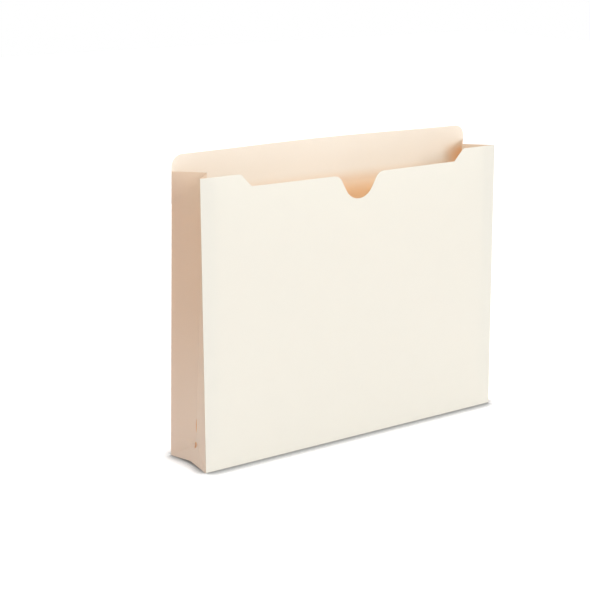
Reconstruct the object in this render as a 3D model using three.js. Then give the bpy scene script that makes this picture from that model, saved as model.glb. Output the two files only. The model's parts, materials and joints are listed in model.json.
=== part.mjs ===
// Expanding file jacket of manila card: a pocket between a tall back panel with a reinforced tab and a
// lower front panel with a thumb notch, joined by gussets that fold inwards at the sides and the bottom.
// Millimetres, +Z up. The origin is on the floor under the middle of the jacket, and the front faces -Y.
import * as THREE from "three";

const { degToRad } = THREE.MathUtils;

// The card and the two panels
const CARD = 0.28; // 11 point card
const GLUE = 0.1; // film of glue between two plies
const WIDTH = 298.45; // both panels, edge to edge
const TAB_HEIGHT = 241.3; // back panel, foot to tab
const TAB_RADIUS = 9.5; // the tab's two corners
const FOOT_RADIUS = 3; // the bottom corners of the back panel
const PLY_HEIGHT = 38.1; // second ply, folded down behind the tab
const EAR_HEIGHT = 228.6; // front panel at its two ears, and the side gussets
const EAR_WIDTH = 36; // from the side edge to the drop beside the ear
const EAR_DROP = 10; // from the ears to the front edge between them
const EAR_SLOPE = degToRad(45);
const EAR_RADIUS = 4; // rounding at the top of the drop
const EAR_CORNER = 1.5; // rounding at its foot

// Thumb notch in the middle of the front edge
const NOTCH_DEPTH = 20;
const NOTCH_RADIUS = 15;
const NOTCH_SLOPE = degToRad(60);
const NOTCH_SHOULDER = 9;

// Gussets, and how far the jacket stands open
const GUSSET = 25.4; // card between two creases, half of the full expansion
const CREASE_RISE = 4.5; // bottom crease above the folds at the foot, with the jacket standing open
const CLOSED_DEPTH = 4; // between the panels when it is pressed flat
const LEAN = degToRad(1.44); // each panel leans in over the pocket
const SEAM_WIDTH = 12.7; // flap of each side gusset, glued inside the front panel

// Clearances
const FOLD_GAP = 0.3; // from a panel to the gusset that folds on it
const CREASE_GAP = 0.15; // from a gusset half to the middle of its crease
const CORNER_GAP = 0.5; // round the webs that close the bottom corners

const ARC_STEPS = 10;
const MANILA = { front: 0xf7efe0, back: 0xf6e0c4, gusset: 0xe4cdb2 };

// A gusset half is hinged on its inner face at the panel and on its outer face at the middle crease, so
// the line between its two hinges is longer than the card and turned a little against it.
const reach = Math.hypot(GUSSET, CARD);
const skew = Math.atan2(CARD, GUSSET);
const openDepth = 2 * Math.sqrt(reach ** 2 - CREASE_RISE ** 2); // between the panels at the foot
const openFold = Math.asin(CREASE_RISE / reach) + LEAN + skew;
const flatFold = Math.acos(CLOSED_DEPTH / 2 / reach) + skew;
const seamDepth = GLUE + CARD; // the front's side gussets fold on the glued flaps
const gussetTop = EAR_HEIGHT - CARD; // above the fold lines at the foot

// A closed outline with rounded corners, from corners given as [x, z, radius]
function outline(corners) {
  const shape = new THREE.Shape();
  corners.forEach(([x, z, radius = 0], i) => {
    const corner = new THREE.Vector2(x, z);
    const near = (step) => {
      const [nx, nz] = corners[(i + step + corners.length) % corners.length];
      return new THREE.Vector2(nx, nz).sub(corner).normalize();
    };
    const before = near(-1);
    const after = near(1);
    const join = i ? "lineTo" : "moveTo";
    if (!radius) {
      shape[join](x, z);
      return;
    }
    const half = before.angleTo(after) / 2;
    const start = before.clone().multiplyScalar(radius / Math.tan(half)).add(corner);
    const toCentre = before.clone().add(after).normalize();
    const centre = toCentre.clone().multiplyScalar(radius / Math.sin(half)).add(corner);
    const leftTurn = before.cross(after) < 0;
    const from = start.clone().sub(centre).angle();
    const sweep = (Math.PI - 2 * half) * (leftTurn ? 1 : -1);
    shape[join](start.x, start.y);
    for (let n = 1; n <= ARC_STEPS; n++) {
      const a = from + (sweep * n) / ARC_STEPS;
      shape.lineTo(centre.x + radius * Math.cos(a), centre.y + radius * Math.sin(a));
    }
  });
  shape.closePath();
  return shape;
}

// A piece of card standing in its parent's XZ plane, with its thickness on one side of that plane
function card(name, color, corners, side) {
  const geometry = new THREE.ExtrudeGeometry(outline(corners), { depth: CARD, bevelEnabled: false });
  geometry.rotateX(Math.PI / 2).translate(0, side > 0 ? CARD : 0, 0);
  const material = new THREE.MeshStandardMaterial({ color, roughness: 0.85, metalness: 0 });
  const mesh = new THREE.Mesh(geometry, material);
  mesh.name = name;
  return mesh;
}

// Turns corners on the right half of a symmetrical outline into the whole, anticlockwise from the foot
function mirrored(right) {
  const left = right.filter(([x]) => x > 0).map(([x, z, radius]) => [-x, z, radius]);
  return [...right, ...left.reverse()];
}

function backPanel() {
  const corners = mirrored([
    [WIDTH / 2, 0, FOOT_RADIUS],
    [WIDTH / 2, TAB_HEIGHT, TAB_RADIUS],
  ]);
  const panel = card("back_panel", MANILA.back, corners, 1);
  panel.position.z = -CARD;
  return panel;
}

function tabPly() {
  const corners = mirrored([
    [WIDTH / 2, TAB_HEIGHT - PLY_HEIGHT],
    [WIDTH / 2, TAB_HEIGHT, TAB_RADIUS],
  ]);
  const ply = card("tab_ply", MANILA.back, corners, 1);
  ply.position.set(0, CARD + GLUE, -CARD);
  return ply;
}

function frontPanel() {
  const edge = EAR_HEIGHT - EAR_DROP;
  const earSide = WIDTH / 2 - EAR_WIDTH;
  const notchFoot = edge - NOTCH_DEPTH;
  const notchPoint = notchFoot + NOTCH_RADIUS - NOTCH_RADIUS / Math.cos(NOTCH_SLOPE);
  const corners = mirrored([
    [WIDTH / 2, 0],
    [WIDTH / 2, EAR_HEIGHT],
    [earSide, EAR_HEIGHT, EAR_RADIUS],
    [earSide - EAR_DROP / Math.tan(EAR_SLOPE), edge, EAR_CORNER],
    [(edge - notchPoint) / Math.tan(NOTCH_SLOPE), edge, NOTCH_SHOULDER],
    [0, notchPoint, NOTCH_RADIUS],
  ]);
  const panel = card("front_panel", MANILA.front, corners, 1);
  panel.position.z = -CARD;
  return panel;
}

// Everything from here on is one half of the pocket, in its panel's frame: the panel's inner face is the
// plane y = 0, the pocket is on its -Y side and z = 0 is the fold line at its foot. seam is the depth of
// what is glued on the inner face at the sides.

// Distance from the inner face to the middle plane of the pocket
const middle = (z) => (openDepth / 2 - z * Math.sin(LEAN)) / Math.cos(LEAN);

// Width of a side gusset half at a height, from its fold to the crease in the middle plane
const gussetWidth = (z, seam) =>
  (middle(z) - CREASE_GAP - seam - CARD * Math.sin(openFold)) / Math.cos(openFold);
const taper = Math.tan(LEAN) / Math.cos(openFold); // what it loses in width per mm of height

// How far a side fold is cut back at the foot, so that it folds flat past the bottom gusset
const cornerCut = (seam) => (seam + CARD) * Math.tan(flatFold) + CORNER_GAP;

// The bottom gusset half rises from the panel's foot, and its ends follow the side gussets
function bottomGusset(which, seam) {
  const half = WIDTH / 2 - CARD;
  const end = (GUSSET * Math.cos(openFold) - seam) * Math.tan(openFold);
  const corners = mirrored([
    [half - FOLD_GAP, FOLD_GAP],
    [half - end, GUSSET - CREASE_GAP],
  ]);
  const gusset = card(`bottom_gusset_${which}`, MANILA.gusset, corners, -1);
  gusset.rotation.x = Math.PI / 2 - openFold;
  return gusset;
}

// A side gusset half, cut off at 45 degrees at its foot, and the corner web below that cut
function sideGusset(side, hand, which, seam) {
  const cut = cornerCut(seam);
  const creaseAt = (rise) => (gussetWidth(0, seam) + rise) / (1 + taper);
  const halfCorners = [
    [FOLD_GAP, FOLD_GAP + cut],
    [gussetWidth(creaseAt(cut), seam), creaseAt(cut)],
    [gussetWidth(gussetTop, seam), gussetTop],
    [FOLD_GAP, gussetTop],
  ];
  const foot = (u) => (seam + u * Math.cos(openFold)) * Math.tan(openFold) + FOLD_GAP;
  const webCut = cut - CORNER_GAP;
  const webCorners = [
    [FOLD_GAP, foot(FOLD_GAP)],
    [gussetWidth(foot(GUSSET), seam), foot(GUSSET)],
    [gussetWidth(creaseAt(webCut), seam), creaseAt(webCut)],
    [FOLD_GAP, FOLD_GAP + webCut],
  ];
  const fold = new THREE.Group();
  fold.add(
    card(`${hand}_gusset_${which}`, MANILA.gusset, halfCorners, side),
    card(`${hand}_corner_web_${which}`, MANILA.gusset, webCorners, side),
  );
  fold.position.set(side * (WIDTH / 2 - CARD), -seam, 0);
  fold.rotation.z = -Math.PI / 2 - side * openFold;
  return fold;
}

// The flap beside a side gusset's fold, glued inside the front panel
function seamFlap(side, hand) {
  const cut = cornerCut(seamDepth);
  const at = (inset) => side * (WIDTH / 2 - CARD - inset);
  const corners = [
    [at(0), cut],
    [at(SEAM_WIDTH), cut + SEAM_WIDTH],
    [at(SEAM_WIDTH), gussetTop],
    [at(0), gussetTop],
  ];
  const flap = card(`${hand}_seam_flap`, MANILA.gusset, corners, 1);
  flap.position.y = -GLUE - CARD;
  return flap;
}

// One panel with the gusset halves that fold on it, leaning in over the pocket
function halfPocket(which, seam, pieces) {
  const frame = new THREE.Group();
  frame.position.set(0, openDepth / 2, CARD);
  frame.rotation.x = LEAN;
  frame.add(...pieces, bottomGusset(which, seam));
  const hands = which === "front" ? { "-1": "right", 1: "left" } : { "-1": "left", 1: "right" };
  for (const side of [-1, 1]) {
    frame.add(sideGusset(side, hands[side], which, seam));
    if (seam) frame.add(seamFlap(side, hands[side]));
  }
  return frame;
}

const jacket = new THREE.Group();
const front = new THREE.Group();
front.rotation.z = Math.PI; // the front half is the back half turned round
front.add(halfPocket("front", seamDepth, [frontPanel()]));
jacket.add(front, halfPocket("rear", 0, [backPanel(), tabPly()]));

export default jacket;
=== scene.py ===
# %% [markdown]
# # An expanding file jacket of manila card
#
# The real jacket is cut from 11 point manila, creased and glued: a tall back panel with a tab, a lower
# front panel with a thumb notch, and gussets between them at both sides and along the bottom. The packed
# model gives its sizes, its hinge lines and its bodies. Here every panel gets the slight curve, the soft
# folds and the paper finish that a flat plate lacks, while each fold stays on its hinge line.

# %% The frame and its sizes
import json
import math

import bmesh
import bpy
from mathutils import Matrix, Vector


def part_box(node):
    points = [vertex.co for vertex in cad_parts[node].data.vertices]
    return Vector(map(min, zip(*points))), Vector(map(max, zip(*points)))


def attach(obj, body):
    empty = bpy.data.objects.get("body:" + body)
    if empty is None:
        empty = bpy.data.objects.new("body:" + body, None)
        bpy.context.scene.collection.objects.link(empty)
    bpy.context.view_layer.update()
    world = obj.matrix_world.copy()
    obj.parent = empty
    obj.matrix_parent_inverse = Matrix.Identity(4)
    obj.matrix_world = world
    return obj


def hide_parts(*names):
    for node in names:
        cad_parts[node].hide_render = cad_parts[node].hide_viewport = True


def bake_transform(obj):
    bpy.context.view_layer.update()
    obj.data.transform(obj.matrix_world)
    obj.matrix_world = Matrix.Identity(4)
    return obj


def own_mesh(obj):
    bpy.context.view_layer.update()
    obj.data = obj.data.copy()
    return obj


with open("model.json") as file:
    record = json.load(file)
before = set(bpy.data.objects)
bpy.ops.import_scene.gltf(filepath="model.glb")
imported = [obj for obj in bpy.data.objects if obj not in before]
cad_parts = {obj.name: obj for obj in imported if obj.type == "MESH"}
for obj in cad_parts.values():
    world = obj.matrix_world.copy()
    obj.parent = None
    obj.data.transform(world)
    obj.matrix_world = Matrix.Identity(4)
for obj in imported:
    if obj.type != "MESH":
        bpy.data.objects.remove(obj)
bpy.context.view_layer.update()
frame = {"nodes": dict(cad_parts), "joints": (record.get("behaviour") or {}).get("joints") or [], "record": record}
joints = {joint["name"]: joint for joint in frame["joints"]}

MM = 0.001
CARD = 0.28 * MM  # thickness of the card
HALF_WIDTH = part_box("back_panel")[1].x

# %% [markdown]
# ## The camera
#
# The photograph was taken from the left of the jacket and a little above it, through a long lens, so
# the panels hardly taper. The angles below come from matching the jacket's corners in the picture, and
# they are written as yaw, pitch and roll because each can then be adjusted by itself.

# %% Camera
CAMERA_AT = Vector((-753.2, -942.6, 424.0)) * MM
YAW = math.radians(36.87)
PITCH = math.radians(14.41)
ROLL = math.radians(0.54)
FRAME_WIDTH = 590  # pixels
FOCAL_PIXELS = 1516.8

camera = bpy.data.objects.new("camera", bpy.data.cameras.new("camera"))
bpy.context.scene.collection.objects.link(camera)
camera.data.sensor_width = 36
camera.data.lens = camera.data.sensor_width * FOCAL_PIXELS / FRAME_WIDTH
aim = Matrix.Rotation(-YAW, 4, "Z") @ Matrix.Rotation(math.pi / 2 - PITCH, 4, "X")
camera.matrix_world = Matrix.Translation(CAMERA_AT) @ aim @ Matrix.Rotation(ROLL, 4, "Z")
bpy.context.scene.camera = camera
print("lens in mm:", round(camera.data.lens, 1))

# %% [markdown]
# ## Shader sums as plain expressions
#
# A material is a graph of nodes. Writing each Math node by hand hides the idea, so one small class
# stands for a socket and turns + - * / into Math nodes, and one method adds every other kind of node.


# %% Sockets and graphs
class Wire:
    """The output of a node, ready for use in a sum."""

    def __init__(self, graph, socket):
        self.graph = graph
        self.socket = socket

    def maths(self, operation, first, second):
        settings = {"operation": operation}
        return self.graph.add("ShaderNodeMath", settings, {0: first, 1: second})

    def __add__(self, other):
        return self.maths("ADD", self, other)

    def __radd__(self, other):
        return self.maths("ADD", other, self)

    def __sub__(self, other):
        return self.maths("SUBTRACT", self, other)

    def __rsub__(self, other):
        return self.maths("SUBTRACT", other, self)

    def __mul__(self, other):
        return self.maths("MULTIPLY", self, other)


class Graph:
    """The node tree of a material or of the world."""

    def __init__(self, owner):
        owner.use_nodes = True
        self.tree = owner.node_tree
        self.tree.nodes.clear()

    def add(self, kind, settings=None, values=None, output=0):
        """Adds a node: its settings first, then the values or links of its sockets."""
        node = self.tree.nodes.new(kind)
        for name, value in (settings or {}).items():
            if name == "stops":
                for stop, (position, colour) in zip(node.color_ramp.elements, value):
                    stop.position = position
                    stop.color = colour
            else:
                setattr(node, name, value)
        for name, value in (values or {}).items():
            if isinstance(value, Wire):
                self.tree.links.new(value.socket, node.inputs[name])
            else:
                node.inputs[name].default_value = value
        if not node.outputs:
            return node
        return Wire(self, node.outputs[output])

    def ramp(self, value, start, end):
        """Rises smoothly from 0 to 1 while a value goes from start to end."""
        return self.add(
            "ShaderNodeMapRange",
            {"interpolation_type": "SMOOTHSTEP"},
            {"Value": value, "From Min": start, "From Max": end},
        )


# %% [markdown]
# ## The card
#
# Manila is a smooth, uncoated card. Close up it has a cloudy look, where the pulp lies thicker, and
# fine fibres that run every way. Both come from noise on Object coordinates, at sizes in real
# millimetres, and both are faint, because from a step away the card looks even. It is thin enough to
# let some light through, more of the red than of the blue, and that is what makes a pocket glow warm.
# Part of that glow is painted on, because it takes more bounces of light than a render follows: the
# back turns orange below its tab and towards its corners, and the gussets turn browner higher up. All
# the panels are one card, but its colour is painted lighter and warmer on the back, as painted light
# from behind, and darker and browner on the gussets, as painted shade; a gusset's paler foot is
# painted light from the floor. The tab's second ply lets most of the light through, or its lower edge
# would show as a line on the back.


# %% The card materials
CREAM = (0.92, 0.90, 0.825)
CREAM_THROUGH = (1.0, 0.97, 0.90)  # what the card lets through of each colour of light
CREAM_THIN = 0.22  # share of the light that passes into the card and comes out behind it
# the same card as the front, painted lighter and warmer: painted light for what shines through the back
PAINTED_LIGHT_PEACH = (1.0, 0.955, 0.89)
PEACH_THROUGH = (1.0, 0.96, 0.88)
PEACH_THIN = 0.4
PLY_THROUGH = (1.0, 0.94, 0.92)
PLY_THIN = 0.65
# painted glow of the light that bounces inside the pocket
POCKET_GLOW = (1.0, 0.45, 0.06)
# the same card again, painted darker and browner: painted shade in the side gussets
SHADED_TAN = (0.84, 0.71, 0.60)
TAN_THROUGH = (1.0, 0.91, 0.79)
TAN_THIN = 0.45
# painted light from the white floor, at the foot of the gussets
FLOOR_LIT_TAN = (0.94, 0.84, 0.76)
# where the painted glow and the painted shade lie
BACK_GLOW_HEIGHTS = (190 * MM, 216 * MM)  # heights between which the back goes from orange to peach
GUSSET_SHADE_HEIGHTS = (0, 150 * MM)  # heights between which a gusset goes from pale to tan
GLOW_CORNER_WIDTH = 26 * MM  # of the orange in the two inner corners of the back
GLOW_CORNER_FADE = (216 * MM, 229 * MM)  # heights between which that orange ends
INSIDE = "inside"  # a number on each face: 1 where it faces the pocket
NOISE_MEAN = 0.5
CLOUD_SIZE = 14 * MM
CLOUDS = 0.3  # how much the clouds change the tone
FIBRE_SIZE = 0.5 * MM
FIBRE_STRETCH = 5  # length of a fibre, in widths
FIBRE_TURNS = (20, 80, 140)  # degrees, the three ways in which fibres run
FIBRE_TILT = (0.3, 0.5)  # radians, about the other two axes
FIBRES = 0.7  # how much the fibres change the tone
GRAIN_SIZE = 0.16 * MM
DARKEST = 0.955  # the darkest specks, as a share of the card's colour
ROUGHNESS = 0.62
ROUGHNESS_RISE = 0.3  # added on the tops of the fibres
GLOSS = 0.25
RELIEF = 0.03 * MM
RELIEF_STRENGTH = 0.25
RELIEF_OF_FIBRES = 0.6  # the fibres' share of the relief, and the rest is grain


def shade(colour, amount=1):
    return tuple(channel * amount for channel in colour) + (1,)


def fibre_noise(graph, place):
    """Long thin specks that run three ways: the mean of three stretched noises."""
    total = 0
    for turn in FIBRE_TURNS:
        turned = graph.add(
            "ShaderNodeMapping",
            {"vector_type": "TEXTURE"},
            {
                "Vector": place,
                "Rotation": (FIBRE_TILT[0], math.radians(turn), FIBRE_TILT[1]),
                "Scale": (FIBRE_STRETCH, 1, 1),
            },
        )
        fine = {"Vector": turned, "Scale": 1 / FIBRE_SIZE, "Detail": 2, "Roughness": 0.7}
        total = total + graph.add("ShaderNodeTexNoise", None, fine) * (1 / len(FIBRE_TURNS))
    return total


def speckled(graph, colour, tone):
    """A colour that is a little darker where the tone is low."""
    stops = [(0, shade(colour, DARKEST)), (1, shade(colour))]
    return graph.add("ShaderNodeValToRGB", {"stops": stops}, {"Fac": tone})


def main_share(graph, place, blend, pocket_side):
    """How much of its main colour a card has at a point: none low down, all of it higher up.

    With pocket_side the other colour reaches higher at both sides, and never shows on the outside.
    """
    across = graph.add("ShaderNodeSeparateXYZ", None, {"Vector": place}, output="X")
    height = graph.add("ShaderNodeSeparateXYZ", None, {"Vector": place}, output="Z")
    # the low colour is painted light: the pocket's glow on the back, the floor's light on a gusset
    share = graph.ramp(height, *blend)
    if not pocket_side:
        return share
    # the painted glow reaches higher in the two inner corners of the back
    off_middle = graph.add("ShaderNodeMath", {"operation": "ABSOLUTE"}, {0: across})
    at_side = graph.ramp(off_middle, HALF_WIDTH - GLOW_CORNER_WIDTH, HALF_WIDTH)
    share = share * (1 - at_side * (1 - graph.ramp(height, *GLOW_CORNER_FADE)))
    inside = graph.add("ShaderNodeAttribute", {"attribute_name": INSIDE}, output="Fac")
    return 1 - inside * (1 - share)


def manila(name, colour, through, thin, painted_low_colour=None, blend=None, pocket_side=False):
    """Card of one colour, or of a second one low down that goes over into the first.

    thin is the share of the light that passes into the card and comes out on the other side. With
    pocket_side the second colour is kept to the side of the card that faces the pocket.
    """
    material = bpy.data.materials.new(name)
    graph = Graph(material)
    place = graph.add("ShaderNodeTexCoord", output="Object")
    soft = {"Vector": place, "Scale": 1 / CLOUD_SIZE, "Detail": 4, "Roughness": 0.6}
    cloud = graph.add("ShaderNodeTexNoise", None, soft)
    fibre = fibre_noise(graph, place)
    grain = graph.add("ShaderNodeTexNoise", None, {"Vector": place, "Scale": 1 / GRAIN_SIZE})
    clouds = (cloud - NOISE_MEAN) * CLOUDS
    fibres = (fibre - NOISE_MEAN) * FIBRES
    tone = NOISE_MEAN + clouds + fibres
    paint = speckled(graph, colour, tone)
    # the second colour is painted light, low down on the card
    if painted_low_colour:
        share = main_share(graph, place, blend, pocket_side)
        paint = graph.add(
            "ShaderNodeMix",
            {"data_type": "RGBA"},
            {0: share, 6: speckled(graph, painted_low_colour, tone), 7: paint},
            output=2,
        )
    relief = fibre * RELIEF_OF_FIBRES + grain * (1 - RELIEF_OF_FIBRES)
    bump = graph.add(
        "ShaderNodeBump",
        None,
        {"Height": relief, "Strength": RELIEF_STRENGTH, "Distance": RELIEF},
    )
    surface = graph.add(
        "ShaderNodeBsdfPrincipled",
        None,
        {
            "Base Color": paint,
            "Roughness": ROUGHNESS + fibre * ROUGHNESS_RISE,
            "Normal": bump,
            "Specular IOR Level": GLOSS,
        },
    )
    glow = graph.add(
        "ShaderNodeBsdfTranslucent", None, {"Color": shade(through), "Normal": bump}
    )
    card = graph.add("ShaderNodeMixShader", None, {0: thin, 1: surface, 2: glow})
    graph.add("ShaderNodeOutputMaterial", None, {"Surface": card})
    return material


front_card = manila("manila_front", CREAM, CREAM_THROUGH, CREAM_THIN)
# the back and the gussets are the front's card with painted light and shade in their colours
back_card = manila("manila_back", PAINTED_LIGHT_PEACH, PEACH_THROUGH, PEACH_THIN, POCKET_GLOW, BACK_GLOW_HEIGHTS, True)
ply_card = manila("manila_ply", PAINTED_LIGHT_PEACH, PLY_THROUGH, PLY_THIN)
gusset_card = manila("manila_gusset", SHADED_TAN, TAN_THROUGH, TAN_THIN, FLOOR_LIT_TAN, GUSSET_SHADE_HEIGHTS)
print("cards:", [m.name for m in (front_card, back_card, ply_card, gusset_card)])

# %% [markdown]
# ## Sheets of card
#
# Every panel starts as a flat sheet with no thickness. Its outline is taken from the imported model, as
# one face, and straight cuts divide it, so that it can bend where the real card bends. Thickness comes
# last, when the shape is right: the sheet is the outer face, and the card grows inwards from it.


# %% Helpers for sheets
WELD = 0.01 * MM  # points closer than this are one point
CUT_NEAR = 0.001 * MM  # a cut this near a point goes through it
FACING = 0.5  # least cosine between a direction and a face that looks that way


def smooth(share):
    """Goes from 0 to 1 with a soft start and a soft end."""
    return share * share * (3 - 2 * share)


def steps(low, high, size):
    """Even places between two values, about a given size apart, without the two themselves."""
    count = max(1, round((high - low) / size))
    return [low + (high - low) * n / count for n in range(1, count)]


def flat_sheet(left, right, top):
    """A flat sheet of one face, which goes from 0 to its top."""
    bm = bmesh.new()
    bmesh.ops.create_grid(bm, x_segments=1, y_segments=1, size=0.5)
    bmesh.ops.scale(bm, verts=bm.verts, vec=(right - left, top, 1))
    bmesh.ops.translate(bm, verts=bm.verts, vec=((left + right) / 2, top / 2, 0))
    return bm


def whole(bm):
    return bm.verts[:] + bm.edges[:] + bm.faces[:]


def cut_along(bm, axis, places):
    """Divides a sheet by straight cuts across an axis."""
    for place in places:
        bmesh.ops.bisect_plane(
            bm, geom=whole(bm), dist=CUT_NEAR, plane_co=axis * place, plane_no=axis
        )


def keep_side(bm, normal, front):
    """Cuts a sheet through its origin, and keeps what lies in front of or behind the cut."""
    bmesh.ops.bisect_plane(
        bm,
        geom=whole(bm),
        dist=CUT_NEAR,
        plane_co=(0, 0, 0),
        plane_no=normal,
        clear_inner=front,
        clear_outer=not front,
    )


def panel_place(foot_joint, fold_joint, turned):
    """Where a panel stands: its own X runs along its foot, Y outwards and Z up its inner face."""
    up = Vector(joints[fold_joint]["axis"])
    up = up if up.z > 0 else -up
    along = Vector((-1 if turned else 1, 0, 0))
    turn = Matrix((along, up.cross(along), up)).transposed().to_4x4()
    return Matrix.Translation(joints[foot_joint]["pos_m"]) @ turn


def outline_of(node, place):
    """The outer side of a piece, pressed flat, as one face in its panel's own axes."""
    bm = bmesh.new()
    bm.from_mesh(frame["nodes"][node].data)
    bm.transform(place.inverted())
    bmesh.ops.remove_doubles(bm, verts=bm.verts, dist=WELD)
    bm.normal_update()
    rest = [f for f in bm.faces if f.normal.y < FACING]
    bmesh.ops.delete(bm, geom=rest, context="FACES")
    plane = min(v.co.y for v in bm.verts)
    for v in bm.verts:
        v.co.y = plane
    bmesh.ops.dissolve_faces(bm, faces=bm.faces[:])
    return bm


def finished(bm, name, material, outwards):
    """Gives a sheet the card's thickness, inwards, and makes it an object."""
    facing = sum((f.normal * f.calc_area() for f in bm.faces), Vector())
    if facing.dot(outwards) < 0:
        bmesh.ops.reverse_faces(bm, faces=bm.faces)
    bmesh.ops.solidify(bm, geom=bm.faces[:], thickness=CARD)
    bm.normal_update()
    if bm.calc_volume(signed=True) < 0:
        bmesh.ops.reverse_faces(bm, faces=bm.faces)
        bm.normal_update()
    inside = bm.faces.layers.float.new(INSIDE)
    for f in bm.faces:
        f[inside] = f.normal.dot(outwards) < -FACING
    mesh = bpy.data.meshes.new(name)
    bm.to_mesh(mesh)
    bm.free()
    mesh.materials.append(material)
    piece = bpy.data.objects.new(name, mesh)
    bpy.context.scene.collection.objects.link(piece)
    return piece


back_place = panel_place("rear_foot_fold", "left_rear_fold", False)
front_place = panel_place("front_foot_fold", "left_front_fold", True)
LEAN = math.atan2(-back_place.col[2].y, back_place.col[2].z)
print("each panel leans in by", round(math.degrees(LEAN), 2), "degrees")

# %% [markdown]
# ## Front panel, back panel and tab
#
# A standing jacket is never quite flat. The gussets hold both panels at their sides and foot, and the
# free top edges bow outwards in the middle, the tab most. The foot is a soft fold with a radius of
# about a millimetre, which catches the light as a thin bright line.

# %% Bowed and rolled panels
PANEL_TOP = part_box("back_panel")[1].z
FOLD_RADIUS = 1.0 * MM
FOLD_TURN = math.radians(76)  # how far the card turns in the fold
FOLD_CUTS = 8
COLUMN = 8 * MM  # width of the faces of a panel
ROW = 12 * MM  # and their height
BACK_BOW = 7 * MM
FRONT_BOW = 2.5 * MM


def roll_foot(bm):
    """Turns the lowest part of a panel inwards, round the fold at its foot."""
    foot = min(v.co.z for v in bm.verts)
    for v in bm.verts:
        share = 1 - (v.co.z - foot) / FOLD_RADIUS
        if share > 0:
            turn = FOLD_TURN * share
            v.co.z = foot + FOLD_RADIUS * (1 - math.sin(turn))
            v.co.y -= FOLD_RADIUS * (1 - math.cos(turn))


def bow(bm, depth):
    """Bows a panel outwards: most at the middle of its top, nothing at its sides and foot."""
    for v in bm.verts:
        across = (1 + math.cos(math.pi * v.co.x / HALF_WIDTH)) / 2
        height = max(0, v.co.z / PANEL_TOP)
        v.co.y += depth * across * height**2


def panel(node, place, material, body, depth, foot_fold=True):
    """A panel of card in a node's place, bowed by a depth and carried by a body."""
    bm = outline_of(node, place)
    low = min(v.co.z for v in bm.verts)
    high = max(v.co.z for v in bm.verts)
    start = low
    if foot_fold:
        start = low + FOLD_RADIUS
        cut_along(bm, Vector((0, 0, 1)), steps(low, start, FOLD_RADIUS / FOLD_CUTS))
        cut_along(bm, Vector((0, 0, 1)), [start])
    cut_along(bm, Vector((0, 0, 1)), steps(start, high, ROW))
    cut_along(bm, Vector((1, 0, 0)), steps(-HALF_WIDTH, HALF_WIDTH, COLUMN))
    if foot_fold:
        roll_foot(bm)
    bow(bm, depth)
    bm.transform(place)
    outwards = place.to_3x3() @ Vector((0, 1, 0))
    piece = finished(bm, node + "_card", material, outwards)
    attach(piece, body)
    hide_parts(node)
    print(piece.name, len(piece.data.vertices), "points")
    return piece


back_panel = panel("back_panel", back_place, back_card, "back", BACK_BOW)
tab_ply = panel("tab_ply", back_place, ply_card, "back", BACK_BOW, False)
front_panel = panel("front_panel", front_place, front_card, "front", FRONT_BOW)

# %% [markdown]
# ## Side gussets
#
# Each side gusset is one strip of card, creased down its middle, with the crease pushed inwards. The
# panels lean in, so the strip is wider than the gap near the top and its crease goes in deeper there.
# When the jacket is pressed flat, the lower end turns through a larger angle than the upper end. The
# rest angle at each height is therefore the flat angle less what that height will turn.

# %% The path of the side creases
couplings = frame["record"]["behaviour"]["couplings"]
ratio = next(c["ratio"] for c in couplings if c["joint"] == "left_rear_fold")
TRAVEL = math.radians(joints["rear_foot_fold"]["range_deg"][1]) * ratio
GUSSET_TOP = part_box("front_panel")[1].z
BLEND_FREE = 662 * MM  # the height at which a gusset would not turn at all
BLEND_FULL = -102 * MM  # and at which it would turn as far as its hinge
FLAT_ANGLE = math.radians(86.3)  # of a gusset half when the jacket is pressed flat
PUSHED_IN = math.radians(3)  # how much further in the crease is pushed at the top


def turn_share(height):
    """The share of its hinge's turn that a gusset makes at a height."""
    return smooth((BLEND_FREE - height) / (BLEND_FREE - BLEND_FULL))


def half_gap(height):
    """From the middle plane to a panel's inner face."""
    return joints["rear_foot_fold"]["pos_m"][1] - height * math.tan(LEAN)


def crease_depth(height):
    """How far in the crease lies, from the jacket's side."""
    angle = FLAT_ANGLE - TRAVEL * turn_share(height) + PUSHED_IN * (height / GUSSET_TOP) ** 2
    return half_gap(height) * math.tan(angle)


for height in [0] + steps(0, GUSSET_TOP, 57 * MM) + [GUSSET_TOP]:
    depth = crease_depth(height)
    width = math.hypot(depth, half_gap(height))
    print("at", round(height / MM), "crease", round(depth / MM, 1), "width", round(width / MM, 1))

# %% [markdown]
# Near the foot the side crease ends in a small round hole, with a short slit above it. From the hole two
# diagonal creases run down to the corners of the panels. The card below them is the corner web. It folds
# over as the jacket closes, so on each half it is a piece of its own.

# %% Side gusset halves and corner webs
HOLE_HEIGHT = 14 * MM
HOLE_SIZE = Vector((3.0, 2.8)) * MM  # width, half height
SLIT_HEIGHT = 30 * MM
SLIT_SIZE = Vector((1.2, 5.5)) * MM
KINK = Vector((2.0, 2.2)) * MM  # where the foot edge is drawn in and up, at the middle
BELLY = 0.8 * MM  # how far each half curves in between its fold and its crease
LOW_PART = 40 * MM  # holds the hole and the slit, and the belly grows over it
LOW_ROW = 1 * MM
HIGH_ROW = 10 * MM
GUSSET_COLUMN = 0.1  # width of the faces, as a share of the half


def slack(height):
    """Half the width of the openings in the side crease: a round hole and a narrow slit."""
    open_by = 0
    for centre, size in ((HOLE_HEIGHT, HOLE_SIZE), (SLIT_HEIGHT, SLIT_SIZE)):
        off = (height - centre) / size.y
        open_by += size.x / 2 * math.sqrt(max(0, 1 - off * off))
    return open_by


def gusset_point(u, height, side, way, opening):
    """A point of a half: u is 0 at the panel's fold and 1 at the crease."""
    gap = half_gap(height)
    belly = 4 * u * (1 - u) * BELLY * min(1, height / LOW_PART)
    x = HALF_WIDTH - crease_depth(height) * u - belly
    y = gap + (opening - gap) * u
    return Vector((side * x, way * y, height))


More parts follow.
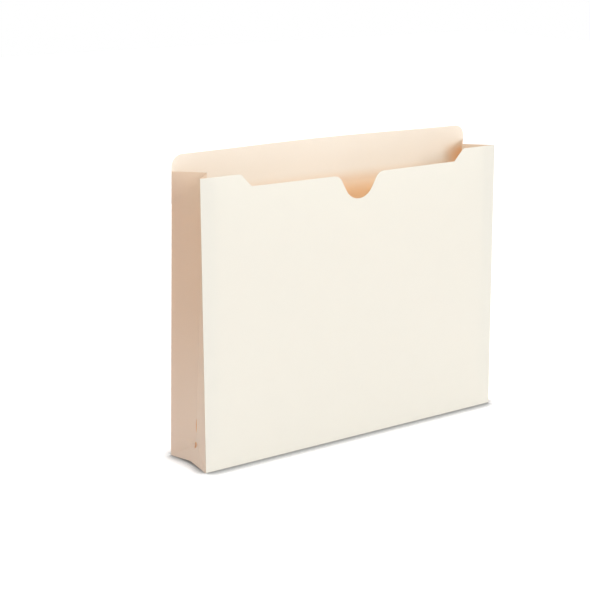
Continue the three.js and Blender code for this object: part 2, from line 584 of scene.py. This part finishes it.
def side_half(hand, which):
    """One half of a side gusset: its strip, and the corner web below the diagonal crease."""
    side = -1 if hand == "left" else 1
    way = 1 if which == "rear" else -1
    strip = flat_sheet(0, 1, GUSSET_TOP)
    rows = steps(0, LOW_PART, LOW_ROW) + [LOW_PART] + steps(LOW_PART, GUSSET_TOP, HIGH_ROW)
    cut_along(strip, Vector((0, 1, 0)), rows)
    cut_along(strip, Vector((1, 0, 0)), steps(0, 1, GUSSET_COLUMN))
    web = strip.copy()
    diagonal = Vector((-HOLE_HEIGHT, 1, 0)).normalized()
    keep_side(strip, diagonal, True)
    keep_side(web, diagonal, False)
    for v in strip.verts:
        v.co = gusset_point(v.co.x, v.co.y, side, way, slack(v.co.y))
    hole = gusset_point(1, HOLE_HEIGHT, side, 0, 0)
    kink = Vector((side * (HALF_WIDTH - KINK.x), 0, KINK.y))
    for v in web.verts:
        u, height = v.co.x, v.co.y
        below = u - height / HOLE_HEIGHT  # 0 on the diagonal crease, 1 at the kink
        v.co = gusset_point(u, u * HOLE_HEIGHT, side, way, slack(height))
        v.co += (kink - hole) * below
    outwards = Vector((side, 0, 0))
    strip_piece = finished(strip, f"{hand}_gusset_{which}_card", gusset_card, outwards)
    web_piece = finished(web, f"{hand}_corner_web_{which}_card", gusset_card, outwards)
    return strip_piece, web_piece


for hand in ("left", "right"):
    for which, body in (("rear", "back"), ("front", "front")):
        strip, corner = side_half(hand, which)
        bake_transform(strip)
        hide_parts(f"{hand}_gusset_{which}")
        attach(corner, body)
        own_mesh(corner)
        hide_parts(f"{hand}_corner_web_{which}")

# %% [markdown]
# ## Bottom gusset
#
# The bottom is the same kind of strip, creased upwards along its middle. Near each end the corner webs
# draw the crease down, which gives the foot its small kink at the sides.

# %% Bottom gusset halves
CREASE_DIP = 14 * MM  # length over which the crease comes down to the kink
CREASE_GAP = 0.1 * MM  # from each half to the middle of the crease
SOFT_FOLD = 4 * MM  # length of card next to the fold; nothing here bends it as the gusset turns
BOTTOM_COLUMN = 4 * MM
FOLD_PART = 0.2  # the part next to the fold that has narrower rows, as a share of the half
FOLD_ROW = 0.02
CREASE_ROW = 0.1


def bottom_half(which):
    """One half of the bottom gusset, from the fold at its panel's foot to the crease."""
    way = 1 if which == "rear" else -1
    hinge = joints["rear_foot_fold"]["pos_m"]
    crease = joints["bottom_crease_fold"]["pos_m"][2]
    fold_y = hinge[1] + CARD - FOLD_RADIUS * (1 - math.cos(FOLD_TURN))
    fold_z = FOLD_RADIUS * (1 - math.sin(FOLD_TURN))
    bm = flat_sheet(-HALF_WIDTH, HALF_WIDTH, 1)
    cut_along(bm, Vector((1, 0, 0)), steps(-HALF_WIDTH, HALF_WIDTH, BOTTOM_COLUMN))
    rows = steps(0, FOLD_PART, FOLD_ROW) + steps(FOLD_PART, 1, CREASE_ROW)
    cut_along(bm, Vector((0, 1, 0)), rows)
    for v in bm.verts:
        x, share = v.co.x, v.co.y
        dip = smooth(max(0, 1 - (HALF_WIDTH - abs(x)) / CREASE_DIP))
        tip_x = x * (1 - dip * KINK.x / HALF_WIDTH)
        tip = Vector((tip_x, way * CREASE_GAP, crease + (KINK.y - crease) * dip))
        v.co = Vector((x, way * fold_y, fold_z)).lerp(tip, share)
    piece = finished(bm, f"bottom_gusset_{which}_card", gusset_card, Vector((0, 0, -1)))
    way * fold_y
    way * (fold_y - SOFT_FOLD)
    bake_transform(piece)
    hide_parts(f"bottom_gusset_{which}")


bottom_half("rear")
bottom_half("front")

# %% [markdown]
# ## Seam flaps
#
# The side gussets are glued inside the front panel by narrow flaps. They are flat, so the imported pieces
# stay as they are and only take the card's finish.

# %% Seam flaps
for hand in ("left", "right"):
    flap = frame["nodes"][f"{hand}_seam_flap"]
    # the flaps take the gusset card, with its painted shade
    flap.material_slots[0].material = gusset_card

# %% [markdown]
# ## Floor
#
# A white floor only looks white where it is fully lit, so the camera sees it a little brighter than it
# is. What the photograph keeps of the shadow is the narrow dark rim where the jacket stands on the
# floor. An Ambient Occlusion node tells how much of the sky is hidden near a point, so it finds that
# rim, and the floor is darkened by it. Only the camera sees this, and the light on the jacket stays
# the same.

# %% Floor
FLOOR_SIZE = 3.0
FLOOR_DROP = 0.05 * MM  # below the jacket's foot
FLOOR_WHITE = 0.97
FLOOR_LIFT = 0.3  # the light that only the camera sees
SHADOW_REACH = 13 * MM
SHADOW_DEPTH = 1.9
SHADOW_LIMIT = 0.72  # so that the floor under the gussets stays grey
SHADOW_SAMPLES = 8


def floor_finish():
    """A white that is a little brighter to the camera, and darker where the jacket stands."""
    material = bpy.data.materials.new("floor_white")
    graph = Graph(material)
    seen = graph.add("ShaderNodeLightPath", output="Is Camera Ray")
    open_sky = graph.add(
        "ShaderNodeAmbientOcclusion",
        {"samples": SHADOW_SAMPLES},
        {"Distance": SHADOW_REACH},
        output="AO",
    )
    hidden = graph.add(
        "ShaderNodeMath",
        {"operation": "MINIMUM"},
        {0: (1 - open_sky) * SHADOW_DEPTH, 1: SHADOW_LIMIT},
    )
    contact = 1 - seen * hidden
    lift = graph.add(
        "ShaderNodeEmission", None, {"Color": seen * contact, "Strength": FLOOR_LIFT}
    )
    matt = graph.add("ShaderNodeBsdfDiffuse", None, {"Color": contact * FLOOR_WHITE})
    both = graph.add("ShaderNodeAddShader", None, {0: matt, 1: lift})
    graph.add("ShaderNodeOutputMaterial", None, {"Surface": both})
    return material


def lay_floor():
    """A wide flat floor, which is not part of the jacket."""
    bm = bmesh.new()
    bmesh.ops.create_grid(bm, x_segments=1, y_segments=1, size=FLOOR_SIZE)
    bmesh.ops.translate(bm, verts=bm.verts, vec=(0, 0, -FLOOR_DROP))
    mesh = bpy.data.meshes.new("floor")
    bm.to_mesh(mesh)
    bm.free()
    mesh.materials.append(floor_finish())
    floor = bpy.data.objects.new("floor", mesh)
    bpy.context.scene.collection.objects.link(floor)


lay_floor()
print("the floor lies", round(FLOOR_DROP / MM, 2), "mm below the jacket's foot")

# %% [markdown]
# ## Light
#
# The studio is a bright, even sky with two large soft lights. The key comes from the front and a little
# from the right, so it lights the front panel and leaves the left gusset in half shade. The other comes
# from above and behind, and shines through the card into the pocket.

# %% Light
SKY = 0.45
KEY = 1.35
KEY_SIZE = math.radians(35)
KEY_FROM = Vector((0.2, -0.85, 0.4))
BACK = 1.6
BACK_SIZE = math.radians(100)
BACK_FROM = Vector((0.1, 0.4, 1.0))


def studio_sky():
    """A soft sky that the camera sees as white."""
    world = bpy.data.worlds.new("studio")
    bpy.context.scene.world = world
    graph = Graph(world)
    camera_ray = graph.add("ShaderNodeLightPath", output="Is Camera Ray")
    glossy_ray = graph.add("ShaderNodeLightPath", output="Is Glossy Ray")
    clear_ray = graph.add("ShaderNodeLightPath", output="Is Transmission Ray")
    seen = graph.add(
        "ShaderNodeMath",
        {"operation": "ADD", "use_clamp": True},
        {0: camera_ray + glossy_ray, 1: clear_ray},
    )
    sky = graph.add("ShaderNodeBackground", None, {"Color": (1, 1, 1, 1), "Strength": SKY})
    white = graph.add("ShaderNodeBackground", None, {"Color": (1, 1, 1, 1), "Strength": 1})
    mixed = graph.add("ShaderNodeMixShader", None, {0: seen, 1: sky, 2: white})
    graph.add("ShaderNodeOutputWorld", None, {"Surface": mixed})


def soft_light(name, strength, size, direction):
    """A far, wide light that shines from a direction."""
    lamp = bpy.data.objects.new(name, bpy.data.lights.new(name, "SUN"))
    bpy.context.scene.collection.objects.link(lamp)
    lamp.data.energy = strength
    lamp.data.angle = size
    lamp.rotation_euler = direction.to_track_quat("Z", "Y").to_euler()


studio_sky()
soft_light("key", KEY, KEY_SIZE, KEY_FROM)
soft_light("back", BACK, BACK_SIZE, BACK_FROM)
print("sky, key and back light:", SKY, KEY, BACK)

# %% [markdown]
# ## View settings
#
# The picture is shown without any film look, so white stays white.

# %% View settings
bpy.context.scene.view_settings.view_transform = "Standard"
